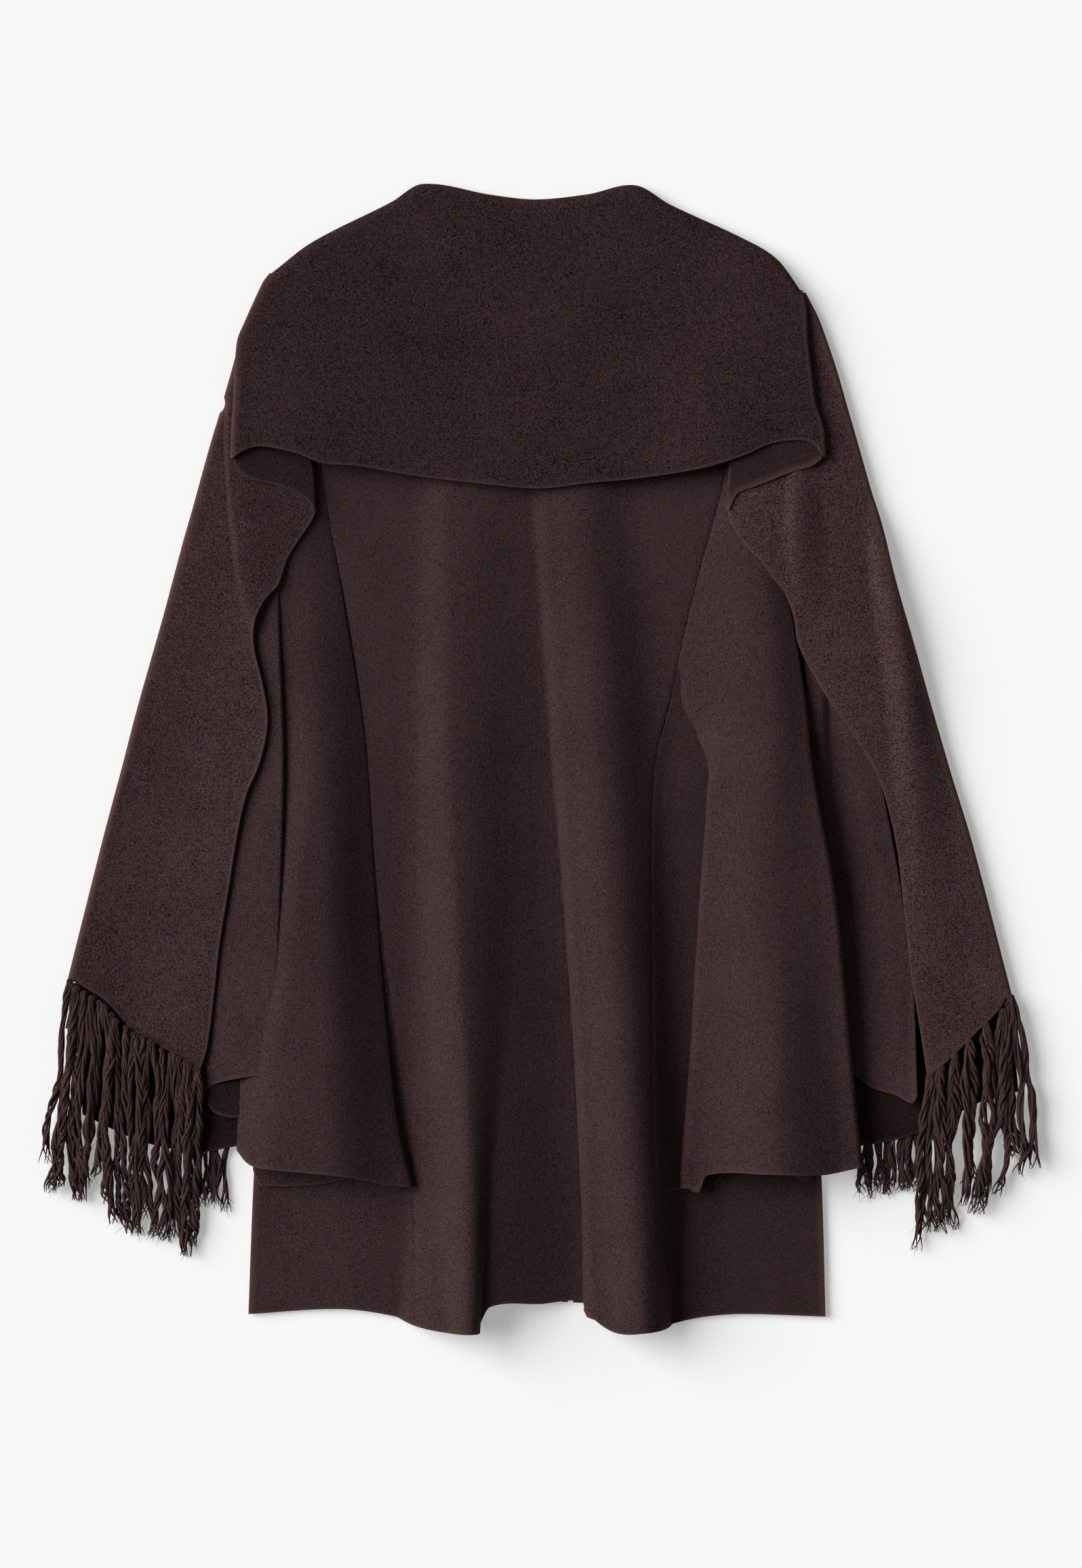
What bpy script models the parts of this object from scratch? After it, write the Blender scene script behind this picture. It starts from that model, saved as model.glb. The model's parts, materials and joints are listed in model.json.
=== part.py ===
# Cape with wide cape sleeves and a long fringed scarf sewn on at the neck, laid flat, back upwards.
#
# Every table is in millimetres. "across" runs to the right from the centre line, "down" runs from
# the top of the neck towards the hem, and "lift" is the height of the middle of the cloth above the
# surface. Left and right are as seen from above. The origin is under the middle of the whole.

from collections import namedtuple
from math import cos, pi, sin

import bpy

METRE = 0.001
CLOTH = 2.0             # thickness of the felted wool
GAP = 0.3               # clearance between pieces that are sewn or lie on each other
LAYER = CLOTH + GAP     # rise from one layer to the next
ON_SURFACE = CLOTH / 2  # lift of a layer that lies on the surface
LENGTH = 898.0          # neck to the lowest point of the hem
OPENING = 23.0          # place of the front opening, across
HALF_OPENING = 2.0      # from there to the edge of each front
SCARF_LIFT = 30.0       # lift of the flap where it lies on its own folds
FRINGE = 4.0            # thickness of a bundle of fringe
TUCK = 10.0             # how far the sleeve's back half reaches under its inner fold
SEAM_SIDE = 0.25        # from a back seam to the edge of the piece on each side
SLEEVE_SIDE = 0.8       # from the side of a front to the edge of the sleeve's front half
FRINGE_BELOW = 4.0      # from the scarf's edge to the full width of the yarns

WOOL_COLOR = (0.040, 0.020, 0.022)
YARN_COLOR = (0.045, 0.024, 0.026)
ROUGHNESS = 0.95

Edge = namedtuple("Edge", "across down")
Seam = namedtuple("Seam", "down across")
Level = namedtuple("Level", "down lift")
Section = namedtuple("Section", "down left right left_lift right_lift crown")
Flute = namedtuple("Flute", "down crest left_reach right_reach rise bulge")

# Outlines that several pieces share

NECK_AND_SHOULDERS = [
    Edge(-211, 71), Edge(-180, 47), Edge(-117, 15), Edge(-93, 1), Edge(-39, 9.5), Edge(-4, 13),
    Edge(37, 9), Edge(74, 2), Edge(101, 17), Edge(159, 44), Edge(185, 60), Edge(203, 84)]

BACK_SEAM_LEFT = [
    Seam(50, -178), Seam(221, -171.5), Seam(330, -153.4), Seam(432, -137.5), Seam(525, -131),
    Seam(650, -116), Seam(785, -98.3), Seam(884, -91.4)]
BACK_SEAM_RIGHT = [
    Seam(50, 165), Seam(227, 143.4), Seam(310, 122), Seam(385, 105), Seam(465, 87.2),
    Seam(620, 84), Seam(788, 86), Seam(894, 98.3)]

BODY_SIDE_LEFT = [
    Seam(60, -194), Seam(150, -176), Seam(300, -170), Seam(450, -182), Seam(600, -214),
    Seam(778, -224.5), Seam(886, -228.7)]
BODY_SIDE_RIGHT = [
    Seam(75, 190), Seam(150, 172), Seam(300, 166), Seam(450, 178), Seam(600, 209),
    Seam(778, 219.2), Seam(886, 222.3)]

SCARF_SIDE_LEFT = [
    Seam(71, -211), Seam(110, -231), Seam(206, -258), Seam(301, -285.4), Seam(428, -319),
    Seam(555, -351.7), Seam(619, -368)]
SCARF_SIDE_RIGHT = [
    Seam(78, 202), Seam(110, 217.6), Seam(206, 247.5), Seam(301, 274.8), Seam(428, 310.8),
    Seam(555, 347.9), Seam(633, 367)]

BODY_HEM = [
    Edge(-228, 883), Edge(-158, 879), Edge(-118, 884), Edge(-90, 892), Edge(-62, 896.5),
    Edge(-50, 893), Edge(-40, 876), Edge(0, 874.5), Edge(34, 873.5), Edge(42, 886),
    Edge(60, 896), Edge(86, 894.5), Edge(122, 886), Edge(155, 883), Edge(222, 885)]

FRONT_TOP = [
    Edge(-190, 62), Edge(-100, 30), Edge(-60, 62), Edge(OPENING, 100), Edge(80, 62), Edge(110, 35),
    Edge(188, 75)]
FRONT_HEM = [Edge(-228, 881), Edge(-17, 872), Edge(OPENING, 874), Edge(222, 882)]

# How far below the neck line the layers start, and where the pieces start that begin under others
BACK_BELOW_NECK = 6
FOLD_BELOW_NECK = 8
SLEEVE_BELOW_NECK = 10
TOP = {
    "side_back_left": 525, "side_back_right": 432,
    "sleeve_outer_fold_left": 290, "sleeve_outer_fold_right": 330,
    "sleeve_under_fold_left": 640, "sleeve_under_fold_right": 405,
    "scarf_loop_left": 95, "scarf_loop_right": 98,
    "scarf_end_left": 88, "scarf_end_right": 93,
    "scarf_front": 98}
SCARF_FRONT_HEM = 660   # of the scarf's front halves, with the front fringes below it
FRONT_TIP_LEFT = 806
FRONT_TIP_RIGHT = 793

# The two flutes of the back: where the crest runs, how far each side reaches, how high they stand,
# and how far their flanks bulge sideways over the valleys beside them.
LEFT_FLUTE = [
    Flute(230, -64, 46, 40, 2, 0), Flute(400, -64, 46, 42, 9, 0), Flute(600, -64, 48, 44, 15, 2),
    Flute(780, -66, 50, 26, 20, 5), Flute(898, -66, 48, 20, 24, 9)]
RIGHT_FLUTE = [
    Flute(230, 22, 40, 44, 2, 0), Flute(400, 31, 42, 44, 9, 0), Flute(600, 41, 36, 42, 15, 2),
    Flute(780, 51, 22, 29, 20, 5), Flute(898, 57, 20, 35, 24, 9)]

# Sleeves, from the floor upwards

SLEEVE_HEM_LEFT = [Edge(-358, 727), Edge(-312, 748), Edge(-267, 756), Edge(-239, 752), Edge(-225, 750)]
SLEEVE_HEM_RIGHT = [Edge(219, 750), Edge(249, 751.5), Edge(293, 742), Edge(344, 717), Edge(373, 709)]

SLEEVE_SIDE_LEFT = [
    Seam(78, -212), Seam(110, -225), Seam(206, -253), Seam(301, -281), Seam(428, -315),
    Seam(555, -347), Seam(640, -361), Seam(727, -358)]
SLEEVE_SIDE_RIGHT = [
    Seam(84, 199), Seam(110, 212), Seam(206, 242), Seam(301, 270), Seam(428, 306),
    Seam(555, 343), Seam(640, 365), Seam(709, 373)]

INNER_FOLD_LEFT = [
    Section(60, -205, -178.6, 8.2, 7.8, 0), Section(142, -226, -175, 8, 5.6, 2),
    Section(221, -238, -172.1, 8, 5.6, 4), Section(330, -235, -154, 8, 5.6, 6),
    Section(432, -235, -138.1, 8, 5.6, 8), Section(525, -236, -131.6, 8, 7, 10),
    Section(580, -237, -127.5, 8, 11, 10), Section(650, -236, -121, 8, 16, 9),
    Section(735, -236, -110, 8, 18, 8), Section(783, -239, -98.8, 8, 19, 8)]
INNER_HEM_LEFT = [
    Edge(-239, 752), Edge(-227, 765), Edge(-210, 768.5), Edge(-152, 774), Edge(-111, 782), Edge(-98.8, 783)]

INNER_FOLD_RIGHT = [
    Section(60, 165.6, 190, 7.8, 8.2, 0), Section(227, 144, 195, 5.6, 9, 4),
    Section(310, 122.6, 192, 5.6, 9, 7), Section(365, 109.5, 200.6, 5.8, 9, 8),
    Section(407, 107, 207, 8, 10, 8), Section(465, 128, 213, 12, 12, 7),
    Section(555, 122.5, 228.7, 15, 14, 7), Section(676, 116, 240.4, 17, 15, 6),
    Section(776, 109, 250.4, 17, 15, 5)]
INNER_HEM_RIGHT = [
    Edge(109, 777), Edge(114, 785), Edge(124, 786), Edge(130, 773.5), Edge(175, 772),
    Edge(220, 773), Edge(250, 768)]

OUTER_FOLD_LEFT = [
    Section(290, -250, -206, 13, 15.5, 1), Section(354, -248, -204.3, 12.5, 19.5, 2),
    Section(452, -255, -201.1, 12, 21.5, 2), Section(615, -262, -205.4, 12, 22.5, 2),
    Section(712, -263.7, -210, 12, 22.5, 2)]
OUTER_HEM_LEFT = [Edge(-263.7, 711), Edge(-257, 704), Edge(-231, 697.5), Edge(-210, 695)]

OUTER_FOLD_RIGHT = [
    Section(330, 204, 232, 8.2, 8.5, 0), Section(452, 210, 262, 8.2, 8.5, 2),
    Section(600, 226, 288, 8.2, 9, 3), Section(718, 236, 294, 8.2, 9.5, 4)]
OUTER_HEM_RIGHT = [
    Edge(236, 690), Edge(244, 695), Edge(256, 705), Edge(277, 712), Edge(290, 718), Edge(294, 711)]

UNDER_FOLD_LEFT = [Section(640, -215, -140, 5.6, 5.6, 0), Section(783, -226, -142, 5.6, 5.6, 0)]
UNDER_HEM_LEFT = [
    Edge(-226, 766), Edge(-222, 780), Edge(-216, 783), Edge(-175, 782), Edge(-145, 776), Edge(-142, 775)]

UNDER_FOLD_RIGHT = [
    Section(395, 104, 150, 5.6, 5.6, 0), Section(465, 87.8, 180, 5.6, 5.6, 0),
    Section(620, 84.6, 205, 5.6, 5.6, 0), Section(788, 86.6, 214, 5.6, 5.6, 0)]
UNDER_HEM_RIGHT = [
    Edge(86.6, 788), Edge(104, 785.5), Edge(130, 786), Edge(150, 771), Edge(184, 770),
    Edge(207, 779), Edge(214, 778)]

# Scarf

FLAP_HEM = [
    Edge(-241, 215), Edge(-234.5, 210), Edge(-221, 206), Edge(-191, 211.5), Edge(-172, 219),
    Edge(-145, 221), Edge(-100, 228.5), Edge(-54, 234), Edge(-2, 238.5), Edge(37, 234.5),
    Edge(82, 230), Edge(128, 222.5), Edge(159, 213), Edge(180, 204), Edge(201, 201),
    Edge(214, 204), Edge(221, 214)]
FLAP_MIDDLE = [Level(60, 10), Level(145, 12), Level(230, 14)]   # where it lies on the back
FLAP_CLIMB_LEFT = (-178, -128)      # where it comes down from its folds to the back
FLAP_CLIMB_RIGHT = (112, 150)
FLAP_SIDES = [
    Section(0, -204, 186, 17, 17, 0), Section(65, -208, 200, 17, 17, 0),
    Section(84, -218, 203, 18, 17, 0), Section(124, -236, 207, 22, 21, 0),
    Section(172, -239, 213.3, 28, 28, 0), Section(214, -241, 220.7, SCARF_LIFT, SCARF_LIFT, 0)]

LOOP_LEFT = [
    Section(95, -221, -196, 16.8, 15, 0), Section(150, -236, -188, 21.5, 19, 0),
    Section(206, -239.5, -181, 26.5, 23, 0), Section(228, -239.5, -177.5, 27, 23.2, 0),
    Section(257, -239.5, -176, 27, 23.2, 0)]
LOOP_HEM_LEFT = [
    Edge(-239.5, 217), Edge(-236.6, 224), Edge(-225, 231.5), Edge(-205, 236.5), Edge(-189.5, 242.5),
    Edge(-179, 249.5), Edge(-176, 256.5)]
LOOP_RIGHT = [
    Section(95, 168, 203.5, 15, 16.6, 0), Section(150, 157, 208.5, 19, 22, 0),
    Section(206, 150, 218, 23, 26.5, 0), Section(257, 145.5, 219.5, 23.2, 27, 0)]
LOOP_HEM_RIGHT = [
    Edge(145.5, 255.5), Edge(148.7, 248), Edge(152.4, 242), Edge(164.6, 237.5), Edge(181.5, 231),
    Edge(198.5, 224.5), Edge(210, 221.5), Edge(219.5, 215)]

SCARF_END_LEFT = [
    Section(85, -218, -197, 9.8, 12, 0), Section(142, -240, -190, 9, 15.5, 1),
    Section(206, -258, -182, 8, 20, 2), Section(256, -272, -176, 8, 20.6, 3),
    Section(280, -279, -189.5, 8, 20.6, 4), Section(325, -291, -214.9, 8, 23, 3),
    Section(351, -298, -223.9, 8, 23, 3), Section(413, -315, -212.8, 8, 24.6, 2),
    Section(458, -326.5, -220.7, 8, 23, 2), Section(505, -339, -235.6, 8, 20.5, 2),
    Section(550, -350.5, -243, 8, 19, 2), Section(619, -368, -253, 8, 17.5, 2),
    Section(692, -386, -265.3, 8, 15.6, 2)]
FRINGE_EDGE_LEFT = [
    Edge(-368, 620), Edge(-343, 636), Edge(-322, 659), Edge(-290, 678), Edge(-265.3, 691.5)]

SCARF_END_RIGHT = [
    Section(90, 166, 208, 12, 9.8, 0), Section(142, 156, 228.5, 15.5, 9, 1),
    Section(206, 148, 247.5, 20, 8, 3), Section(256, 145.5, 262, 20.6, 8, 5),
    Section(284, 160.3, 270, 21, 8, 5), Section(320, 190, 280, 21, 8, 3),
    Section(360, 200.6, 292, 21, 8, 3), Section(403, 223.9, 304, 18, 8, 3),
    Section(443, 251.5, 315, 17, 8, 2), Section(468, 264.7, 322, 16.5, 8, 2),
    Section(514, 276.4, 336, 16.5, 8, 2), Section(617, 288.6, 363, 17, 8, 2),
    Section(698, 301.3, 384, 15, 8, 2)]
FRINGE_EDGE_RIGHT = [
    Edge(301.5, 698), Edge(322, 681), Edge(344, 660), Edge(360, 645), Edge(367, 633.5)]

SCARF_FRONT_LEFT = [
    Section(95, -214, -200, ON_SURFACE, ON_SURFACE, 0), Section(142, -234, -198, ON_SURFACE, ON_SURFACE, 0),
    Section(301, -283, -216, ON_SURFACE, ON_SURFACE, 0), Section(500, -335, -236, ON_SURFACE, ON_SURFACE, 0),
    Section(660, -372, -247, ON_SURFACE, ON_SURFACE, 0)]
SCARF_FRONT_RIGHT = [
    Section(95, 194, 206, ON_SURFACE, ON_SURFACE, 0), Section(142, 193, 222, ON_SURFACE, ON_SURFACE, 0),
    Section(301, 212, 272, ON_SURFACE, ON_SURFACE, 0), Section(500, 232, 330, ON_SURFACE, ON_SURFACE, 0),
    Section(660, 245, 372, ON_SURFACE, ON_SURFACE, 0)]

# Reach of the yarns below each edge of the scarf

FRINGE_LEFT = [Section(600, -368, -262, 9.5, 17, 0), Section(692, -381, -264, 9.2, 15.6, 0),
               Section(757, -389, -268, 9, 10.5, 0), Section(840, -392, -272, 2.4, 2.4, 0)]
FRINGE_TIPS_LEFT = [Edge(-389, 757), Edge(-358, 792), Edge(-325, 816), Edge(-300, 822), Edge(-274, 834)]
FRINGE_RIGHT = [Section(620, 304, 366, 17, 9.5, 0), Section(698, 302, 378, 15.6, 9.2, 0),
                Section(757, 298, 388.5, 10.5, 9, 0), Section(832, 295, 390, 2.4, 2.4, 0)]
FRINGE_TIPS_RIGHT = [Edge(295, 832), Edge(311, 819), Edge(340, 803), Edge(375, 765), Edge(388.5, 758)]
FRONT_FRINGE_LEFT = [
    Section(660, -360, -247, ON_SURFACE, ON_SURFACE, 0), Section(806, -267, -246, ON_SURFACE, ON_SURFACE, 0)]
FRONT_FRINGE_RIGHT = [
    Section(660, 245, 360, ON_SURFACE, ON_SURFACE, 0), Section(793, 246, 297, ON_SURFACE, ON_SURFACE, 0)]

# Depths of the rows that pieces with a common seam share, so that their edges follow each other
BODY_ROWS = (110, 165, 221, 280, 330, 385, 432, 478, 525, 580, 650, 720, 785, 840)
SLEEVE_ROWS = (100, 700)            # the shared rows that a sleeve's front half has
FOLD_ROWS = (100, 730)              # and those of its folds
SLEEVE_COLUMNS = 6
MEETING_ROUNDS = 12                 # rounds in which an edge and a side are brought together
MEETING_START = 300                 # depth at which they start


def through(rows, key, field, at):
    """Value of a field at a place, on a smooth curve through the rows of a table."""
    places = [getattr(row, key) for row in rows]
    values = [getattr(row, field) for row in rows]
    if at <= places[0]:
        return values[0]
    if at >= places[-1]:
        return values[-1]
    i = max(index for index, place in enumerate(places) if place <= at)
    before, after = max(i - 1, 0), min(i + 2, len(rows) - 1)
    span = places[i + 1] - places[i]
    start_slope = (values[i + 1] - values[before]) / (places[i + 1] - places[before])
    end_slope = (values[after] - values[i]) / (places[after] - places[i])
    s = (at - places[i]) / span
    return (values[i] * (2 * s**3 - 3 * s**2 + 1) + values[i + 1] * (3 * s**2 - 2 * s**3)
            + span * (start_slope * (s**3 - 2 * s**2 + s) + end_slope * (s**3 - s**2)))


def ease(low, high, value):
    """0 below low, 1 above high, and a smooth rise between them."""
    s = min(max((value - low) / (high - low), 0), 1)
    return s * s * (3 - 2 * s)


def seam(rows, offset=0):
    """Curve that follows a seam, moved sideways by the offset."""
    return lambda down: through(rows, "down", "across", down) + offset


def line(rows, offset=0):
    """Curve that follows a neck line or hem, moved down by the offset."""
    return lambda across: through(rows, "across", "down", across) + offset


def level(down):
    """Straight edge at one depth."""
    return lambda across: down


def edge(sections, side, offset=0):
    """Left or right edge of a piece that is given by sections, moved sideways by the offset."""
    return lambda down: through(sections, "down", side, down) + offset


def sides(sections):
    """Both edges of a piece that is given by sections."""
    return edge(sections, "left"), edge(sections, "right")


def section_lift(sections):
    """Height of a piece that is given by sections, crowned between its edges."""
    def lift(u, across, down):
        left_lift = through(sections, "down", "left_lift", down)
        right_lift = through(sections, "down", "right_lift", down)
        crown = through(sections, "down", "crown", down)
        return left_lift + (right_lift - left_lift) * u + crown * sin(pi * u), 0
    return lift


def flute_at(rows, across, down):
    """Rise of one flute at a place of the back, and how far its flank bulges there."""
    crest = through(rows, "down", "crest", down)
    side = "left_reach" if across < crest else "right_reach"
    s = (across - crest) / through(rows, "down", side, down)
    if abs(s) >= 1:
        return 0, 0
    rise = through(rows, "down", "rise", down) * (1 + cos(pi * s)) / 2
    return rise, through(rows, "down", "bulge", down) * sin(pi * s)


def back_lift(u, across, down):
    """Height of the backs above the fronts, and the sideways bulge of the flutes."""
    left_rise, left_bulge = flute_at(LEFT_FLUTE, across, down)
    right_rise, right_bulge = flute_at(RIGHT_FLUTE, across, down)
    return ON_SURFACE + LAYER + left_rise + right_rise, left_bulge + right_bulge


def flat_lift(u, across, down):
    """Height of a piece that lies on the surface."""
    return ON_SURFACE, 0


def sleeve_front_lift(u, across, down):
    """The sleeve's front half starts on the surface and lies outwards on the scarf's front half."""
    from_body = 1 - u if across < 0 else u
    return ON_SURFACE + LAYER * min(from_body * SLEEVE_COLUMNS, 1), 0


def sleeve_back_lift(u, across, down):
    """The sleeve's back half lies on its front half."""
    return ON_SURFACE + 2 * LAYER, 0


def flap_lift(u, across, down):
    """The flap lies on the back in the middle and on the scarf's own folds at both sides."""
    side = through(FLAP_SIDES, "down", "left_lift", down)
    middle = through(FLAP_MIDDLE, "down", "lift", down)
    climb = ease(*FLAP_CLIMB_LEFT, across) * (1 - ease(*FLAP_CLIMB_RIGHT, across))
    return side + (middle - side) * climb, 0


def even_rows(number):
    """Rows spread evenly between a piece's top and its hem."""
    return lambda upper, lower: [upper + (lower - upper) * row / number for row in range(number + 1)]


def body_rows(start, end):
    """Rows at the shared depths between two depths."""
    inner = [depth for depth in BODY_ROWS if start < depth < end]
    return lambda upper, lower: [upper, *inner, lower]


def where(piece, u, row, rows):
    """Place of a point of a piece: u runs from its left to its right edge, rows run downwards."""
    left, right, top, hem, lift = piece

    def across_at(down):
        return left(down) + (right(down) - left(down)) * u

    def meet(end):
        down = end(across_at(MEETING_START))
        for _ in range(MEETING_ROUNDS):
            down = end(across_at(down))
        return down

    down = rows(meet(top), meet(hem))[row]
    across = across_at(down)
    height, bulge = lift(u, across, down)
    return (across + bulge, LENGTH / 2 - down, height)


def finish(name, color):
    """Plain material of one piece."""
    material = bpy.data.materials.new(name)
    material.use_nodes = True
    shader = material.node_tree.nodes["Principled BSDF"]
    shader.inputs["Base Color"].default_value = (*color, 1)
    shader.inputs["Roughness"].default_value = ROUGHNESS
    shader.inputs["Metallic"].default_value = 0
    return material


def sheet(name, piece, columns, rows, thickness=CLOTH, color=WOOL_COLOR):
    """One cut piece: a grid laid in its place, given its thickness on both sides of its middle."""
    row_number = len(rows(0, LENGTH)) - 1
    bpy.ops.mesh.primitive_grid_add(x_subdivisions=columns, y_subdivisions=row_number, size=1)
    cloth = bpy.context.object
    cloth.name = name
    cloth.data.name = name
    for vertex in cloth.data.vertices:
        u = vertex.co.x + 0.5
        row = round((0.5 - vertex.co.y) * row_number)
        vertex.co = [value * METRE for value in where(piece, u, row, rows)]
    wall = cloth.modifiers.new("wall", "SOLIDIFY")
    wall.thickness = thickness * METRE
    wall.offset = 0
    cloth.data.materials.append(finish(name, color))
    cloth.data.shade_smooth()
    for collection in list(cloth.users_collection):
        collection.objects.unlink(cloth)
    cape.objects.link(cloth)
    return cloth


def body():
    """Centre back, side backs and fronts."""
    whole = body_rows(0, LENGTH)
    neck, hem = line(NECK_AND_SHOULDERS, BACK_BELOW_NECK), line(BODY_HEM)
    center = (seam(BACK_SEAM_LEFT, SEAM_SIDE), seam(BACK_SEAM_RIGHT, -SEAM_SIDE), neck, hem, back_lift)
    sheet("back_center", center, 24, whole)
    backs = [
        ("side_back_left", seam(BODY_SIDE_LEFT), seam(BACK_SEAM_LEFT, -SEAM_SIDE)),
        ("side_back_right", seam(BACK_SEAM_RIGHT, SEAM_SIDE), seam(BODY_SIDE_RIGHT))]
    for name, left, right in backs:
        sheet(name, (left, right, level(TOP[name]), hem, back_lift), 7, body_rows(TOP[name], LENGTH))
    fronts = [
        ("front_left", seam(BODY_SIDE_LEFT), level(OPENING - HALF_OPENING)),
        ("front_right", level(OPENING + HALF_OPENING), seam(BODY_SIDE_RIGHT))]
    for name, left, right in fronts:
        sheet(name, (left, right, line(FRONT_TOP), line(FRONT_HEM), flat_lift), 5, whole)


def sleeves():
    """Each sleeve: the front half, the back half under the scarf, and the folds of the back half."""
    top = line(NECK_AND_SHOULDERS, SLEEVE_BELOW_NECK)
    outer_left, outer_right = seam(SLEEVE_SIDE_LEFT), seam(SLEEVE_SIDE_RIGHT)
    hem_left, hem_right = line(SLEEVE_HEM_LEFT), line(SLEEVE_HEM_RIGHT)
    front_left = (outer_left, seam(BODY_SIDE_LEFT, -SLEEVE_SIDE), top, hem_left, sleeve_front_lift)
    front_right = (seam(BODY_SIDE_RIGHT, SLEEVE_SIDE), outer_right, top, hem_right, sleeve_front_lift)
    back_left = (outer_left, edge(INNER_FOLD_LEFT, "left", TUCK), top, hem_left, sleeve_back_lift)
    back_right = (edge(INNER_FOLD_RIGHT, "right", -TUCK), outer_right, top, hem_right, sleeve_back_lift)
    sheet("sleeve_front_left", front_left, SLEEVE_COLUMNS, body_rows(*SLEEVE_ROWS))
    sheet("sleeve_front_right", front_right, SLEEVE_COLUMNS, body_rows(*SLEEVE_ROWS))
    sheet("sleeve_back_left", back_left, 4, even_rows(9))
    sheet("sleeve_back_right", back_right, 4, even_rows(9))
    neck = line(NECK_AND_SHOULDERS, FOLD_BELOW_NECK)
    inner_folds = [
        ("sleeve_inner_fold_left", INNER_FOLD_LEFT, INNER_HEM_LEFT, 7),
        ("sleeve_inner_fold_right", INNER_FOLD_RIGHT, INNER_HEM_RIGHT, 8)]
    for name, sections, hem, columns in inner_folds:
        fold = (*sides(sections), neck, line(hem), section_lift(sections))
        sheet(name, fold, columns, body_rows(*FOLD_ROWS))
    under_rows = body_rows(TOP["sleeve_under_fold_right"], FOLD_ROWS[1])
    folds = [
        ("sleeve_outer_fold_left", OUTER_FOLD_LEFT, OUTER_HEM_LEFT, 4, even_rows(7)),
        ("sleeve_outer_fold_right", OUTER_FOLD_RIGHT, OUTER_HEM_RIGHT, 5, even_rows(6)),
        ("sleeve_under_fold_left", UNDER_FOLD_LEFT, UNDER_HEM_LEFT, 5, even_rows(2)),
        ("sleeve_under_fold_right", UNDER_FOLD_RIGHT, UNDER_HEM_RIGHT, 6, under_rows)]
    for name, sections, hem, columns, rows in folds:
        sheet(name, (*sides(sections), level(TOP[name]), line(hem), section_lift(sections)), columns, rows)


def scarf():
    """Flap over the back, the loops at its corners, and both halves of the two ends."""
    flap = (*sides(FLAP_SIDES), line(NECK_AND_SHOULDERS), line(FLAP_HEM), flap_lift)
    sheet("scarf_flap", flap, 22, even_rows(6))
    stretches = [
        ("scarf_loop_left", LOOP_LEFT, LOOP_HEM_LEFT, 5, 4),
        ("scarf_loop_right", LOOP_RIGHT, LOOP_HEM_RIGHT, 5, 4),
        ("scarf_end_left", SCARF_END_LEFT, FRINGE_EDGE_LEFT, 6, 14),
        ("scarf_end_right", SCARF_END_RIGHT, FRINGE_EDGE_RIGHT, 6, 14)]
    for name, sections, hem, columns, rows in stretches:
        stretch = (*sides(sections), level(TOP[name]), line(hem), section_lift(sections))
        sheet(name, stretch, columns, even_rows(rows))
    for name, sections in (("scarf_front_left", SCARF_FRONT_LEFT), ("scarf_front_right", SCARF_FRONT_RIGHT)):
        half = (*sides(sections), level(TOP["scarf_front"]), level(SCARF_FRONT_HEM), flat_lift)
        sheet(name, half, 2, even_rows(6))


def fringes():
    """The reach of the yarns, from the scarf's edges to their tips."""
    edge_left, edge_right = line(FRINGE_EDGE_LEFT, FRINGE_BELOW), line(FRINGE_EDGE_RIGHT, FRINGE_BELOW)
    front_edge = level(SCARF_FRONT_HEM + GAP)
    bundles = [
        ("fringe_left", FRINGE_LEFT, edge_left, line(FRINGE_TIPS_LEFT), FRINGE),
        ("fringe_right", FRINGE_RIGHT, edge_right, line(FRINGE_TIPS_RIGHT), FRINGE),
        ("fringe_front_left", FRONT_FRINGE_LEFT, front_edge, level(FRONT_TIP_LEFT), CLOTH),
        ("fringe_front_right", FRONT_FRINGE_RIGHT, front_edge, level(FRONT_TIP_RIGHT), CLOTH)]
    for name, sections, upper, tips, thickness in bundles:
        piece = (*sides(sections), upper, tips, section_lift(sections))
        sheet(name, piece, 4, even_rows(4), thickness, YARN_COLOR)


for item in list(bpy.data.objects):
    bpy.data.objects.remove(item, do_unlink=True)
cape = bpy.data.collections.new("cape")
bpy.context.scene.collection.children.link(cape)
body()
sleeves()
scarf()
fringes()
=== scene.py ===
import json
import random
from math import cos, pi, radians, sin

import bpy
import numpy as np
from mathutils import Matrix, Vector

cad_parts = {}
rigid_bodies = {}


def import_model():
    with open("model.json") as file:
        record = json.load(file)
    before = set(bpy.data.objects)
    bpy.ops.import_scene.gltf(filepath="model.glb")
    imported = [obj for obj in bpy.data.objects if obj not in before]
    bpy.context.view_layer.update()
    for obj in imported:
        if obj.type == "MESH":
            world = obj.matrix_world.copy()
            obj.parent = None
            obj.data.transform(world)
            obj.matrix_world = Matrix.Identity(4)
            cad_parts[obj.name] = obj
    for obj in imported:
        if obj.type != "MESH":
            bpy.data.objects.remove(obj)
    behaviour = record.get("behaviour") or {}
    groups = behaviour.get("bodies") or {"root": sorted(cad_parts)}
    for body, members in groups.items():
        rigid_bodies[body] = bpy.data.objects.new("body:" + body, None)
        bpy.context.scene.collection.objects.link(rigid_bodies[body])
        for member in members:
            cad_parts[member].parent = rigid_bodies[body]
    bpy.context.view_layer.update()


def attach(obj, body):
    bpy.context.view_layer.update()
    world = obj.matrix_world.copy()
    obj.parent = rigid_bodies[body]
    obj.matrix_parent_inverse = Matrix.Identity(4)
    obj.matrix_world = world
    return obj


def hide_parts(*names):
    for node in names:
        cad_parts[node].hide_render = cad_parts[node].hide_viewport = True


# Cape with cape sleeves and a fringed scarf, laid flat, back upwards.
# Tables are in millimetres: across = to the right of the middle, down = from the top of the neck
# towards the hem. The first column of a table is the place, the others are what holds there.

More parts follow.
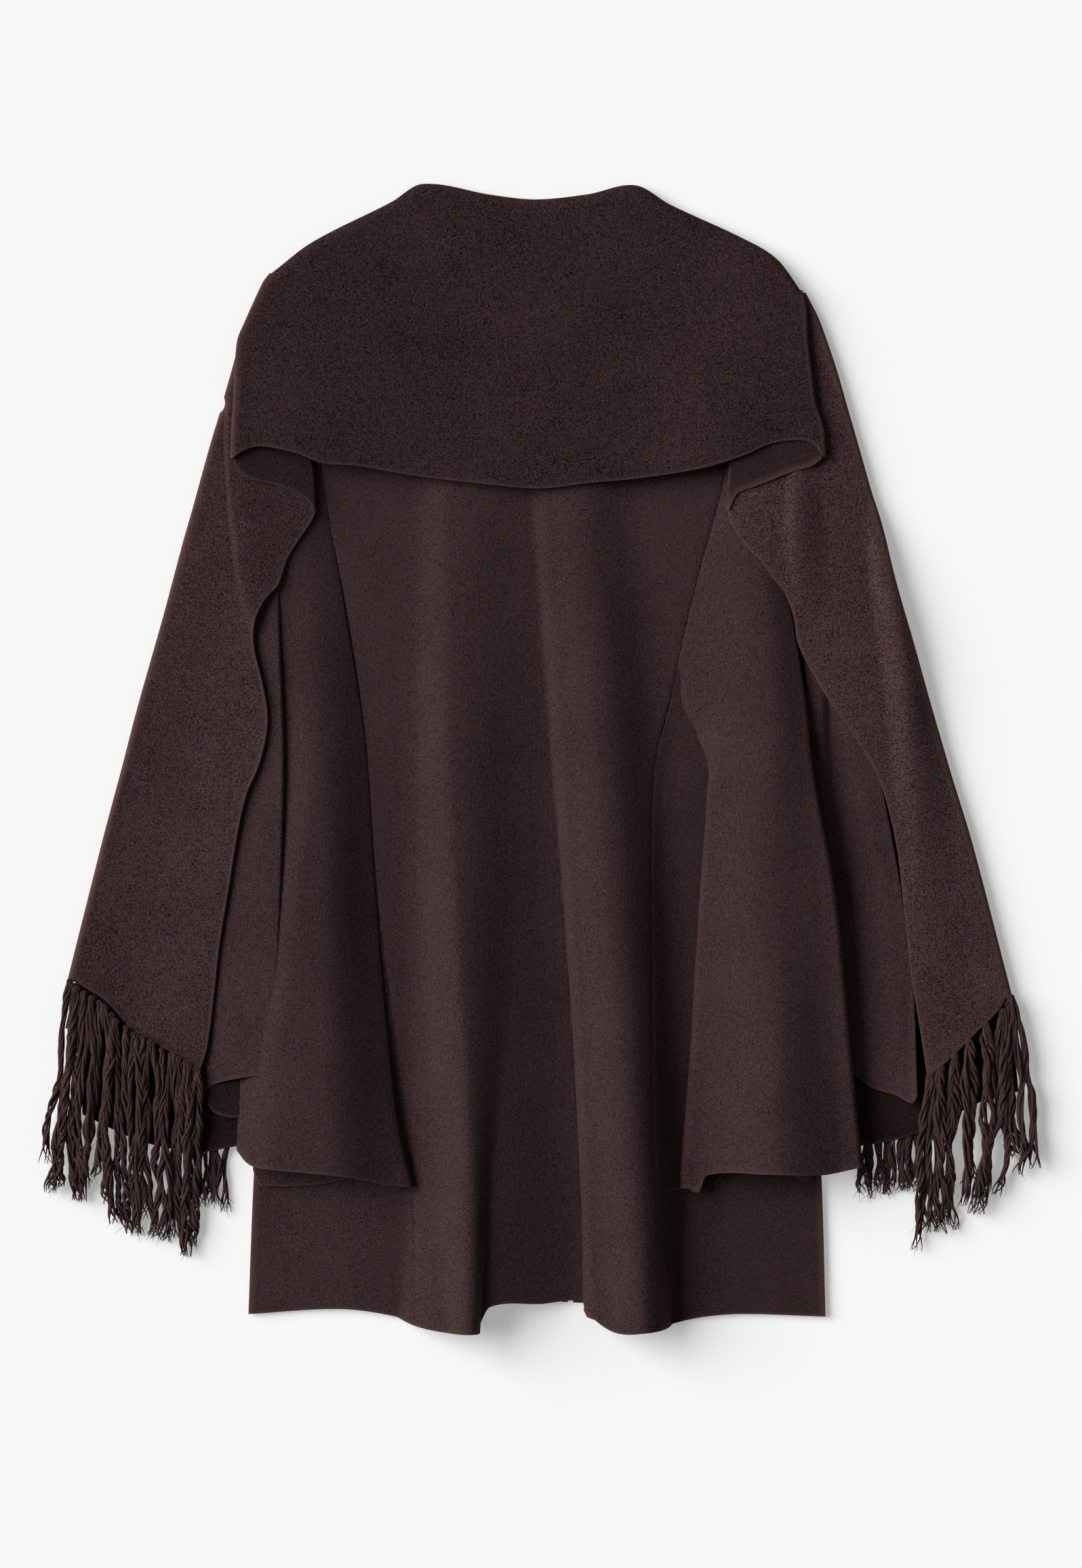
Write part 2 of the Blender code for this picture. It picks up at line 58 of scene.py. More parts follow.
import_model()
cadNames = [item.name for item in bpy.data.objects]
mm = 0.001
capeLength = 898        # from the top of the neck to the lowest hem
clothThickness = 2.0
seam = {"depth": 0.5, "width": 1.8}
sewing = {
    "edgeRound": 0.62,
    "seamEdgeRound": 0.3,   # so that the halves of a seam meet
    "edgeSteps": 2,
    "edgeAngle": 55,
}

# Outlines that several pieces share

neckLine = [(-211, 71), (-180, 47), (-117, 15), (-93, 1), (-39, 9.5), (-4, 13), (37, 9), (74, 2),
            (101, 17), (159, 44), (185, 60), (203, 84)]
backSeamLeft = [(50, -178), (221, -171.5), (330, -153.4), (432, -137.5), (525, -131), (650, -116),
                (785, -98.3), (884, -91.4)]
backSeamRight = [(50, 165), (227, 143.4), (310, 122), (385, 105), (465, 87.2), (620, 84), (788, 86),
                 (894, 98.3)]
bodySideLeft = [(60, -194), (150, -176), (300, -170), (450, -182), (600, -214), (778, -224.5),
                (886, -228.7)]
bodySideRight = [(75, 190), (150, 172), (300, 166), (450, 178), (600, 209), (778, 219.2),
                 (886, 222.3)]
sleeveSideLeft = [(78, -212), (110, -225), (206, -253), (301, -281), (428, -315), (555, -347),
                  (640, -361), (727, -358)]
sleeveSideRight = [(84, 199), (110, 212), (206, 242), (301, 270), (428, 306), (555, 343), (640, 365),
                   (709, 373)]


def through(rows, at, field=1):
    places = np.array([row[0] for row in rows], float)
    values = np.array([row[field] for row in rows], float)
    at = np.clip(np.asarray(at, float), places[0], places[-1])
    i = np.clip(np.searchsorted(places, at, side="right") - 1, 0, len(rows) - 2)
    before, after = np.maximum(i - 1, 0), np.minimum(i + 2, len(rows) - 1)
    span = places[i + 1] - places[i]
    start = (values[i + 1] - values[before]) / (places[i + 1] - places[before])
    end = (values[after] - values[i]) / (places[after] - places[i])
    s = (at - places[i]) / span
    return (values[i] * (2 * s**3 - 3 * s**2 + 1) + values[i + 1] * (3 * s**2 - 2 * s**3)
            + span * (start * (s**3 - 2 * s**2 + s) + end * (s**3 - s**2)))


def curve(edge, at):   # an edge is a table or one number
    if isinstance(edge, (int, float)):
        return np.full_like(np.asarray(at, float), edge)
    return through(edge, at)


def moved(rows, offset):
    return [(row[0], row[1] + offset) for row in rows]


def ease(low, high, value):
    s = np.clip((value - low) / (high - low), 0, 1)
    return s * s * (3 - 2 * s)


def ridge(rows, across, down):
    # rows: down, crest, reach to the left, reach to the right, rise, bulge of the flanks, level part
    s = across - through(rows, down, 1)
    s = s / np.where(s < 0, through(rows, down, 2), through(rows, down, 3))
    if len(rows[0]) > 6:
        level = through(rows, down, 6)
        s = np.sign(s) * np.clip((np.abs(s) - level) / (1 - level), 0, 1.1)
    inside = np.abs(s) < 1
    rise = np.where(inside, through(rows, down, 4) * (1 + np.cos(pi * s)) / 2, 0)
    bulge = np.where(inside, through(rows, down, 5) * np.sin(pi * s), 0) if len(rows[0]) > 5 else 0
    return rise, bulge


def crease(rows, across, down):   # a ridge with straight flanks and a sharp top, columns as above
    s = across - through(rows, down, 1)
    s = s / np.where(s < 0, through(rows, down, 2), through(rows, down, 3))
    return through(rows, down, 4) * np.clip(1 - np.sqrt(s**2 + 0.004), 0, 1)


def farFrom(lines, across, down, most=25.0):   # distance in the plan from the nearest of some lines
    far = np.full(across.shape, most)
    for lineAcross, lineDown in lines:
        length = np.hypot(np.diff(lineAcross), np.diff(lineDown)).cumsum()
        length = np.insert(length, 0, 0)
        at = np.arange(0, length[-1], 0.8)
        x, y = np.interp(at, length, lineAcross), np.interp(at, length, lineDown)
        for row in range(len(across)):
            gap = np.hypot(across[row][:, None] - x, down[row][:, None] - y).min(1)
            far[row] = np.minimum(far[row], gap)
    return far


def edgeLines(sides, across, down):
    lines = {"top": (across[0], down[0]), "hem": (across[-1], down[-1])}
    rows = np.arange(len(across))
    for side, column in (("left", across.argmin(1)), ("right", across.argmax(1))):
        lines[side] = across[rows, column], down[rows, column]
    return [lines[side] for side in sides]


def unevenness(across, down, seed, height, waves=7):   # the small slow waves of laid cloth
    chance = random.Random(seed)
    total = np.zeros_like(across)
    for _ in range(waves):
        turn, length, phase = chance.uniform(-0.9, 0.9), chance.uniform(55, 190), chance.uniform(0, 6.3)
        along = across * cos(turn) + down * 0.45 * sin(turn)
        total += np.sin(along / length * 2 * pi + phase) / waves
    return total * height


def placeCloth(cloth):
    columns, rowCount = cloth["grid"]
    u, v = np.meshgrid(np.linspace(0, 1, columns + 1), np.linspace(0, 1, rowCount + 1))

    def acrossAt(down):
        left, right = curve(cloth["left"], down), curve(cloth["right"], down)
        return left + (right - left) * u

    ends = []   # a curved end is found step by step, as its place also sets how wide the cloth is
    for end in ("top", "hem"):
        down = curve(cloth[end], acrossAt(np.full_like(u, 300.0)))
        for _ in range(14):
            down = curve(cloth[end], acrossAt(down))
        ends.append(down)
    down = ends[0] + (ends[1] - ends[0]) * v
    across = acrossAt(down)
    for side, column in (("rollLeft", 0), ("rollRight", -1)):   # room for the rounded fold
        if side in cloth:
            radius, turn = through(cloth[side], down, 1), through(cloth[side], down, 2)
            room = radius * np.sin(np.radians(np.minimum(turn, 90)))
            near = (1 - u) if column == 0 else u
            across += (room if column == 0 else -room) * near
    lift = cloth["lift"](u, across, down) if callable(cloth["lift"]) else layered(cloth["lift"], u, down)
    bulge = 0
    for rows in cloth.get("ridges", ()):
        rise, push = ridge(rows, across, down)
        lift, bulge = lift + rise, bulge + push
    for rows in cloth.get("creases", ()):
        lift = lift + crease(rows, across, down)
    fade = np.minimum(1, np.minimum(u, 1 - u) * 6)
    lift = lift + unevenness(across, down, cloth["name"], cloth.get("waves", 0.8)) * fade
    for rows in cloth.get("seams", ()):   # the cloth dips into a sewn seam
        gap = np.abs(across - curve(rows, down))
        pucker = 1 + 0.25 * np.sin(down / 7.5) + 0.2 * np.sin(down / 3.1)
        lift = lift - seam["depth"] * pucker * np.exp(-(gap / seam["width"]) ** 2)
    across = across + bulge
    for side in ("rollLeft", "rollRight"):
        if side in cloth:
            across, down, lift = rollUnder(cloth[side], across, down, lift, side == "rollLeft")
    return across, down, lift


def layered(rows, u, down):   # rows: down, left lift, right lift, crown
    left, right, crown = (through(rows, down, field) for field in (1, 2, 3))
    return left + (right - left) * u + crown * np.sin(pi * u)**0.8


def rollUnder(rows, across, down, lift, leftSide):
    # carries the cloth round a fold and back under itself: down, radius, turn, reach under
    arcSteps, underSteps = 12, 7
    flip = -1 if leftSide else 1
    x = across[:, ::-1] * flip if leftSide else across
    y, z = (down[:, ::-1], lift[:, ::-1]) if leftSide else (down, lift)
    direction = np.arctan2(z[:, -1] - z[:, -2], x[:, -1] - x[:, -2])
    px, pz, py = x[:, -1].copy(), z[:, -1].copy(), y[:, -1]
    radius, reach = through(rows, py, 1), through(rows, py, 3)
    turn = np.radians(through(rows, py, 2)) + direction
    moreX, moreZ = [], []
    for step in range(arcSteps):
        angle = direction - turn * (step + 0.5) / arcSteps
        chord = 2 * radius * np.sin(np.abs(turn) / arcSteps / 2)
        px, pz = px + chord * np.cos(angle), pz + chord * np.sin(angle)
        moreX.append(px), moreZ.append(pz)
    for step in range(underSteps):
        angle = direction - turn
        px, pz = px + reach / underSteps * np.cos(angle), pz + reach / underSteps * np.sin(angle)
        moreX.append(px), moreZ.append(pz)
    x = np.hstack([x, np.array(moreX).T])
    z = np.hstack([z, np.array(moreZ).T])
    y = np.hstack([y, np.repeat(y[:, -1:], arcSteps + underSteps, axis=1)])
    if leftSide:
        x, y, z = x[:, ::-1] * flip, y[:, ::-1], z[:, ::-1]
    return x, y, z


def deselectAll():
    for item in bpy.context.selected_objects:
        item.select_set(False)


def sewCloth(cloth, materials):
    across, down, lift = placeCloth(cloth)
    rowCount, columns = across.shape[0] - 1, across.shape[1] - 1
    deselectAll()
    bpy.ops.mesh.primitive_grid_add(x_subdivisions=columns, y_subdivisions=rowCount, size=1)
    piece = bpy.context.object
    piece.name = piece.data.name = cloth["name"]
    points = np.empty(len(piece.data.vertices) * 3)
    piece.data.vertices.foreach_get("co", points)
    points = points.reshape(-1, 3)
    column = np.rint((points[:, 0] + 0.5) * columns).astype(int)
    row = np.rint((0.5 - points[:, 1]) * rowCount).astype(int)
    place = np.stack([across[row, column], capeLength / 2 - down[row, column], lift[row, column]], 1)
    piece.data.vertices.foreach_set("co", (place * mm).ravel())
    piece.data.update()
    # distances from the cut and the folded edges, for the lighter bands painted along them
    for edge, sides in (("cut", cloth.get("cut", ("hem",))), ("fold", cloth.get("fold", ()))):
        far = farFrom(edgeLines(sides, across, down), across, down)
        piece.data.attributes.new(edge, "FLOAT", "POINT").data.foreach_set("value", far[row, column])
    for material in materials:
        piece.data.materials.append(material)
    wall = piece.modifiers.new("wall", "SOLIDIFY")
    wall.thickness = clothThickness * mm
    wall.offset = 0
    wall.use_quality_normals = True
    wall.material_offset_rim = 1
    bpy.ops.object.modifier_apply(modifier="wall")
    soft = piece.modifiers.new("soft", "BEVEL")
    soft.width = (sewing["seamEdgeRound"] if cloth.get("seams") else sewing["edgeRound"]) * mm
    soft.segments = sewing["edgeSteps"]
    soft.limit_method = "ANGLE"
    soft.angle_limit = radians(sewing["edgeAngle"])
    soft.harden_normals = False
    bpy.ops.object.modifier_apply(modifier="soft")
    bpy.ops.object.shade_smooth()
    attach(piece, "root")
    if cloth["name"] in cadNames:
        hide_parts(cloth["name"])
    return piece


class Wire:
    # a socket of a material, so that shader maths is written as plain sums
    def __init__(self, paint, socket):
        self.paint, self.socket = paint, socket

    def __add__(self, other):
        return self.paint.maths("ADD", self, other)

    def __sub__(self, other):
        return self.paint.maths("SUBTRACT", self, other)

    def __rsub__(self, other):
        return self.paint.maths("SUBTRACT", other, self)

    def __mul__(self, other):
        return self.paint.maths("MULTIPLY", self, other)

    __radd__, __rmul__ = __add__, __mul__


class Paint:
    def __init__(self, name):
        self.material = bpy.data.materials.new(name)
        self.material.use_nodes = True
        self.nodes, self.links = self.material.node_tree.nodes, self.material.node_tree.links
        self.shader = self.nodes["Principled BSDF"]

    def node(self, kind, settings=None, inputs=None, output=0):
        made = self.nodes.new(kind)
        for name, value in (settings or {}).items():
            setattr(made, name, value)
        for name, value in (inputs or {}).items():
            self.give(made.inputs[name], value)
        return Wire(self, made.outputs[output])

    def give(self, socket, value):
        if isinstance(value, Wire):
            self.links.new(value.socket, socket)
        else:
            socket.default_value = value

    def maths(self, operation, first, second):
        return self.node("ShaderNodeMath", {"operation": operation}, {0: first, 1: second})

    def between(self, low, high, value):
        return self.node("ShaderNodeMapRange", {"clamp": True},
                         {"Value": value, "From Min": low, "From Max": high})

    def blend(self, share, first, second):
        return self.node("ShaderNodeMix", {"data_type": "RGBA"}, {0: share, 6: first, 7: second}, 2)

    def noise(self, place, scale, detail, rough):
        return self.node("ShaderNodeTexNoise", {},
                         {"Vector": place, "Scale": scale, "Detail": detail, "Roughness": rough})

    def place(self):
        return self.node("ShaderNodeTexCoord", output=3)   # Object coordinates

    def distance(self, edge):
        return self.node("ShaderNodeAttribute", {"attribute_name": edge}, output=2)


feltLook = {
    "dark": (0.0070, 0.0018, 0.0018),
    "light": (0.066, 0.0385, 0.0405),
    "violet": (0.036, 0.0250, 0.040),   # stray fibres
    "violetShare": 0.46,
    "rust": (0.074, 0.0245, 0.0170),
    "rustShare": 0.48,
    # a lighter band by the cut edges: partly the cut fibres' own lighter look, partly painted highlight
    "cutEdge": (0.098, 0.056, 0.054, 1),
    "cutEdgeShare": 0.36,
    # painted sheen: a lighter band along the folded edges, where the cloth rounds away
    "foldEdge": (0.112, 0.055, 0.049, 1),
    "foldEdgeShare": 0.42,
    "middle": 0.505,        # where the mottle turns from dark to light
    "patchSize": 14,        # sizes of the patterns, in cells to the metre
    "mottleSize": 420,
    "tuftSize": 800,
    "fleckSize": 1000,
    "grainSize": 1400,
    "sheen": 0.03,
    "bump": 0.55,
    "bumpDepth": 1.1 * mm,
}
woolSheen = (0.85, 0.60, 0.58, 1)


# tone under 1 gives copies in painted shade, over 1 copies in painted light or lighter edges
def paintFelt(name, tone=1.0, spread=0.17):   # tone: how light it is, spread: low for strong mottle
    look, paint = feltLook, Paint(name)
    dark, light, violet, rust = (tuple(part * tone for part in look[fibre]) + (1,)
                                 for fibre in ("dark", "light", "violet", "rust"))
    place = paint.place()
    patch = paint.noise(place, look["patchSize"], 3, 0.6)
    mottle = paint.noise(place, look["mottleSize"], 2, 0.6)
    tuft = paint.node("ShaderNodeTexVoronoi", {"feature": "SMOOTH_F1"},
                      {"Vector": place, "Scale": look["tuftSize"], "Smoothness": 0.6})
    grain = paint.noise(place, look["grainSize"], 2, 0.7)
    fleck = paint.noise(place, look["fleckSize"], 2, 0.6)
    value = mottle * 0.2 + grain * 0.8 + (patch - 0.5) * 0.12 - (tuft - 0.5) * 0.2
    low, high = look["middle"] - spread, look["middle"] + spread
    color = paint.blend(paint.between(low, high, value), dark, light)
    color = paint.blend(paint.between(0.54, 0.70, fleck) * look["violetShare"], color, violet)
    color = paint.blend(paint.between(0.55, 0.72, 1 - fleck) * look["rustShare"], color, rust)
    fold, cut = paint.distance("fold"), paint.distance("cut")   # in millimetres, from sewCloth
    fuzz = (grain - 0.5) * 5 + (mottle - 0.5) * 3
    # painted sheen along the folded edges
    foldSheenMask = (1 - paint.between(0.2, 5.6, fold + fuzz)) * look["foldEdgeShare"]
    # by the cut edges partly the fibres' own lighter look, partly painted highlight
    cutFibresAndHighlightMask = (1 - paint.between(0.4, 2.6, cut + fuzz)) * look["cutEdgeShare"]
    color = paint.blend(foldSheenMask, color, look["foldEdge"])
    color = paint.blend(cutFibresAndHighlightMask, color, look["cutEdge"])
    paint.give(paint.shader.inputs["Base Color"], color)
    paint.give(paint.shader.inputs["Roughness"], 0.86 + mottle * 0.14)
    height = mottle * 0.5 + grain * 0.25 - tuft * 0.45
    bump = paint.node("ShaderNodeBump", {}, {"Strength": look["bump"], "Distance": look["bumpDepth"],
                                             "Height": height})
    paint.give(paint.shader.inputs["Normal"], bump)
    paint.shader.inputs["Specular IOR Level"].default_value = 0.05
    paint.shader.inputs["Sheen Weight"].default_value = look["sheen"]
    paint.shader.inputs["Sheen Roughness"].default_value = 0.5
    paint.shader.inputs["Sheen Tint"].default_value = woolSheen
    return paint.material


# One wool in darker copies for painted shade, a lighter copy for painted light on the right scarf end, and
# lighter copies on the cut edges that are partly the fibres' own look and partly painted highlight
felt = paintFelt("felted_wool")
feltScarf = paintFelt("felted_wool_scarf", 1.0, 0.09)
# painted shade: the flap in a darker copy of the wool
feltPaintedFlapShade = paintFelt("felted_wool_flap", 0.73, 0.07)
# painted shade: a darker copy for cloth in the shade under the flap
feltPaintedShade = paintFelt("felted_wool_inside", 0.62)
# painted shade, darker still, for the sleeve backs and the layer deep under the folds
feltPaintedDeepShade = paintFelt("felted_wool_deep", 0.40)
feltShade = paintFelt("felted_wool_shade", 0.78)
# painted light: the right scarf end in a lighter copy of the wool
feltPaintedLightScarfRight = paintFelt("felted_wool_scarf_right", 1.32, 0.09)
# lighter copies for the cut walls: partly the fibres' own lighter look, partly painted highlight
feltCutFibresAndHighlight = paintFelt("felted_wool_cut_edge", 1.4)
feltSoftCutFibresAndHighlight = paintFelt("felted_wool_soft_edge", 1.5)
print("materials ready")

# Body

leftFlute = [
    (0, -66, 34, 60, 0, 0), (150, -72, 34, 60, 0, 0), (240, -76, 34, 60, 1, 0), (400, -80, 34, 60, 3, 0),
    (600, -70, 38, 50, 8, 1), (780, -62, 44, 24, 14, 3), (898, -61, 52, 10, 23, 7)]
rightFlute = [
    (0, 5, 12, 60, 0, 0, 0.3), (150, 5, 14, 62, 1, 0, 0.3), (240, 8, 16, 70, 4, 0, 0.3),
    (400, 20, 16, 84, 8, 0, 0.33), (600, 32, 11, 84, 14, 2, 0.38), (780, 42, 9, 76, 18, 4, 0.42),
    (898, 47, 9, 54, 19, 6, 0.56)]
rightSlope = [
    (0, 20, 30, 50, 0), (240, 26, 32, 50, 4), (400, 42, 38, 48, 9), (600, 58, 38, 44, 14),
    (780, 72, 38, 36, 15), (898, 80, 40, 20, 13)]
valleySlope = [
    (0, -66, 26, 80, 0), (150, -68, 26, 80, 2), (300, -70, 28, 84, 7), (420, -70, 30, 88, 15),
    (600, -62, 32, 92, 20), (780, -52, 30, 88, 22), (898, -50, 22, 84, 21)]
bodyHem = [
    (-228, 883), (-158, 879), (-118, 884), (-90, 892), (-62, 896.5), (-50, 893), (-40, 876),
    (0, 874.5), (34, 873.5), (42, 886), (60, 896), (86, 894.5), (122, 886), (155, 883), (222, 885)]
frontTop = [(-190, 62), (-100, 30), (-60, 62), (23, 100), (80, 62), (110, 35), (188, 75)]
frontHem = [(-228, 881), (-17, 872), (23, 874), (222, 882)]


def backLift(u, across, down):   # just clear of the fronts
    return np.full_like(across, 3.3)


def frontLift(u, across, down):   # on the floor
    return np.full_like(across, clothThickness / 2)


bodyPieces = [
    {"name": "back_center", "left": moved(backSeamLeft, 0.03), "right": moved(backSeamRight, -0.03),
     "top": moved(neckLine, 6), "hem": bodyHem, "grid": (110, 230), "lift": backLift,
     "ridges": [leftFlute, rightFlute, rightSlope, valleySlope], "seams": [backSeamLeft, backSeamRight]},
    {"name": "side_back_left", "left": bodySideLeft, "right": moved(backSeamLeft, -0.03), "top": 525,
     "hem": bodyHem, "grid": (46, 110), "lift": backLift, "ridges": [leftFlute], "seams": [backSeamLeft],
     "fold": ("left",)},
    {"name": "side_back_right", "left": moved(backSeamRight, 0.03), "right": bodySideRight, "top": 432,
     "hem": bodyHem, "grid": (46, 130), "lift": backLift, "ridges": [rightFlute, rightSlope],
     "seams": [backSeamRight], "fold": ("right",)},
    {"name": "front_left", "left": bodySideLeft, "right": 21, "top": frontTop, "hem": frontHem,
     "grid": (18, 56), "lift": frontLift, "waves": 0},
    {"name": "front_right", "left": 25, "right": bodySideRight, "top": frontTop, "hem": frontHem,
     "grid": (18, 56), "lift": frontLift, "waves": 0}]

# Sleeves

sleeveHemLeft = [(-358, 727), (-312, 748), (-267, 756), (-239, 752), (-225, 750)]
sleeveHemRight = [(219, 750), (249, 751.5), (293, 742), (344, 717), (373, 709)]

innerFoldLeft = {
    "name": "sleeve_inner_fold_left",
    "left": [(60, -205), (142, -226), (221, -238), (330, -235), (525, -236), (650, -236), (735, -236),
             (783, -239)],
    "right": [(60, -178.6), (142, -175), (221, -172.1), (330, -154), (432, -138.1), (525, -131.6),
              (580, -127.5), (650, -121), (735, -110), (783, -98.8)],
    "top": moved(neckLine, 8),
    "hem": [(-239, 752), (-227, 765), (-210, 768.5), (-152, 774), (-111, 782), (-98.8, 783)],
    "lift": [(60, 8.2, 5, 0), (142, 8, 3.6, 2), (221, 8, 3.6, 4), (330, 8, 3.6, 6), (432, 8, 3.6, 7),
             (525, 8, 4.4, 8), (580, 8, 5.4, 9), (650, 8, 7.6, 9), (735, 8, 11.6, 8), (783, 8, 14, 7)],
    "ridges": [[(280, -172, 30, 40, 0, 0, 0), (432, -174, 32, 44, 6, 0, 0),
                (518, -177, 34, 48, 10, 0, 0.15), (600, -180, 46, 56, 11, 0, 0.2),
                (700, -189, 60, 80, 14, 0, 0.25), (783, -191, 62, 88, 16, 0, 0.25)]],
    "rollRight": [(520, 1.2, 40, 0.4), (580, 1.4, 70, 0.6), (650, 1.9, 100, 2), (735, 3.8, 170, 10),
                  (783, 5.2, 184, 20)],
    "grid": (48, 200)}


def foldRightLift(u, across, down):   # flat along the seam, then up the flank of the fold
    rows = [(60, 5, 8.2, 0), (227, 3.6, 10, 3), (310, 3.6, 9, 3), (365, 3.8, 10, 3), (420, 4.5, 11, 3),
            (470, 5, 13, 2), (560, 4, 14, 1), (776, 3, 12, 0)]
    step = [(300, 0, 116, 168), (365, 3, 110, 166), (400, 6, 110, 162), (420, 8, 112, 156),
            (440, 11, 115, 148), (460, 13, 117, 138), (490, 14, 115, 130), (530, 14, 108, 124),
            (560, 14, 95, 116), (776, 12, 85, 104)]
    rise, start, end = (through(step, down, field) for field in (1, 2, 3))
    dip = 3.0 * (1 - ease(0, 0.1, u)) * ease(370, 395, down) * (1 - ease(425, 448, down))
    return layered(rows, u, down) + rise * ease(0, 1, (across - start) / (end - start)) - dip


innerFoldRight = {
    "name": "sleeve_inner_fold_right",
    "left": [(60, 165.6), (227, 144), (310, 122.6), (365, 109.8), (388, 105), (400, 104.5), (414, 109),
             (430, 120), (446, 127), (480, 127.5), (555, 122.5), (615, 119), (676, 116), (776, 109)],
    "right": [(60, 190), (227, 195), (310, 192), (365, 200.6), (407, 207), (465, 213), (555, 228.7),
              (676, 240.4), (776, 250.4)],
    "top": moved(neckLine, 8),
    "hem": [(109, 784), (112.5, 786.5), (118, 786.5), (123, 774), (175, 772), (220, 773), (250, 768)],
    "lift": foldRightLift,
    "ridges": [[(230, 165, 40, 30, 1), (300, 172, 50, 30, 5), (386, 178, 60, 32, 7),
                (450, 176, 60, 40, 9), (518, 168, 50, 56, 10), (650, 178, 62, 58, 13),
                (776, 186, 72, 60, 14)]],
    "rollLeft": [(410, 1.3, 50, 0.5), (436, 2, 90, 1), (466, 5, 160, 8), (510, 6.3, 180, 14),
                 (776, 6.5, 184, 22)],
    "rollRight": [(340, 1.3, 60, 0.8), (400, 2.6, 150, 4), (500, 3.2, 180, 8), (776, 3.6, 180, 10)],
    "creases": [[(600, 184, 30, 40, 0), (680, 184, 34, 46, 4), (776, 183.6, 40, 50, 5.5)]],
    "grid": (54, 200)}

outerFoldLeft = {
    "name": "sleeve_outer_fold_left",
    "left": [(290, -250), (354, -248), (452, -255), (615, -262), (712, -263.7)],
    "right": [(290, -206), (354, -204.3), (452, -201.1), (615, -205.4), (712, -210)],
    "top": 290,
    "hem": [(-263.7, 711), (-257, 704), (-231, 697.5), (-210, 695)],
    "lift": [(290, 10, 13, 0), (354, 9, 16, 0), (452, 9, 19, 0), (615, 9.5, 22.5, 1), (712, 10, 24, 1)],
    "rollRight": [(290, 1.0, 90, 0.4), (400, 1.4, 95, 0.4), (600, 1.6, 100, 0.5), (712, 1.6, 100, 0.5)],
    "grid": (24, 130)}
outerFoldRight = {
    "name": "sleeve_outer_fold_right",
    "left": [(330, 204), (452, 210), (600, 226), (718, 236)],
    "right": [(330, 232), (452, 262), (600, 288), (718, 294)],
    "top": 330,
    "hem": [(236, 690), (244, 695), (256, 705), (277, 712), (290, 718), (294, 711)],
    "lift": [(330, 8.4, 10, 0), (452, 10.5, 13, 0), (600, 10.8, 13, 0), (718, 10.8, 13.4, 0)],
    "creases": [[(560, 296, 9, 20, 0), (623, 296, 9, 20, 2), (718, 296, 9, 20, 3.5)],
                [(390, 225, 6, 12, 0), (410, 225, 6, 14, -4), (470, 228, 8, 22, -5),
                 (560, 242, 12, 28, -5), (718, 256, 16, 30, -3)]],
    "grid": (26, 120)}
hemLeft = {   # the folded layer that shows below the hem of the outer fold
    "name": "sleeve_fold_layer_left",
    "left": [(690, -262), (730, -259)], "right": [(690, -206), (730, -208)], "top": 690,
    "hem": [(-260, 719), (-255, 725), (-243, 729), (-225, 728.5), (-206, 727)],
    "lift": [(690, 11, 13, 0), (730, 11, 13, 1)], "grid": (30, 24), "waves": 0}
underFoldLeft = {
    "name": "sleeve_under_fold_left",
    "left": [(640, -215), (783, -226)], "right": [(640, -140), (783, -142)], "top": 640,
    "hem": [(-226, 766), (-222, 780), (-216, 783), (-175, 782), (-145, 776), (-142, 775)],
    "lift": [(640, 5.6, 5.6, 0), (783, 5.6, 5.6, 0)], "grid": (30, 44), "waves": 0}
underFoldRight = {
    "name": "sleeve_under_fold_right",
    "left": [(365, 110), (395, 103.2), (465, 87.8), (620, 84.6), (788, 86.6)],
    "right": [(365, 150), (465, 180), (620, 205), (788, 214)], "top": 375,
    "hem": [(86.6, 788), (104, 785.5), (130, 786), (150, 771), (184, 770), (207, 779), (214, 778)],
    "lift": lambda u, across, down: 3.1 + 1.6 * ease(0, 0.3, u) * ease(400, 470, down),
    "ridges": [rightFlute, rightSlope], "grid": (44, 110), "waves": 0}


def sleeveFrontLift(u, across, down):   # down to the floor beside the body, else on the scarf
    fromBody = np.where(across < 0, 1 - u, u)
    return clothThickness / 2 + 2.3 * np.minimum(fromBody * 6, 1)


sleevePieces = [
    {"name": "sleeve_front_left", "left": sleeveSideLeft, "right": moved(bodySideLeft, -0.6),
     "top": moved(neckLine, 10), "hem": sleeveHemLeft, "lift": sleeveFrontLift,
     "grid": (24, 70), "waves": 0},
    {"name": "sleeve_front_right", "left": moved(bodySideRight, 0.6), "right": sleeveSideRight,
     "top": moved(neckLine, 10), "hem": sleeveHemRight, "lift": sleeveFrontLift,
     "grid": (24, 70), "waves": 0},
    {"name": "sleeve_back_left", "left": sleeveSideLeft, "right": moved(innerFoldLeft["left"], 10),
     "top": moved(neckLine, 10), "hem": sleeveHemLeft, "lift": [(60, 5.6, 5.6, 0), (760, 5.6, 5.6, 0)],
     "grid": (24, 80), "waves": 0},
    {"name": "sleeve_back_right", "left": moved(innerFoldRight["right"], -10), "right": sleeveSideRight,
     "top": moved(neckLine, 10), "hem": sleeveHemRight, "lift": [(60, 5.6, 5.6, 0), (760, 5.6, 5.6, 0)],
     "grid": (24, 80), "waves": 0},
    innerFoldLeft, innerFoldRight, outerFoldLeft, outerFoldRight, underFoldLeft, underFoldRight, hemLeft]

# Scarf

flapSides = [(0, 10), (65, 12), (84, 13), (124, 16), (172, 19.5), (214, 22)]


def flapLift(u, across, down):
    side = through(flapSides, down) - 3.2 * ease(120, 214, down) * ease(120, 200, across)
    middle = 9 + 6 * ease(60, 230, down)
    climb = ease(-205, -70, across) * (1 - ease(60, 195, across))
    edge = np.clip(down - curve(neckLine, across), 0, 9) / 9
    return (side + (middle - side) * climb) * (0.55 + 0.45 * np.sqrt(1 - (1 - edge)**2))


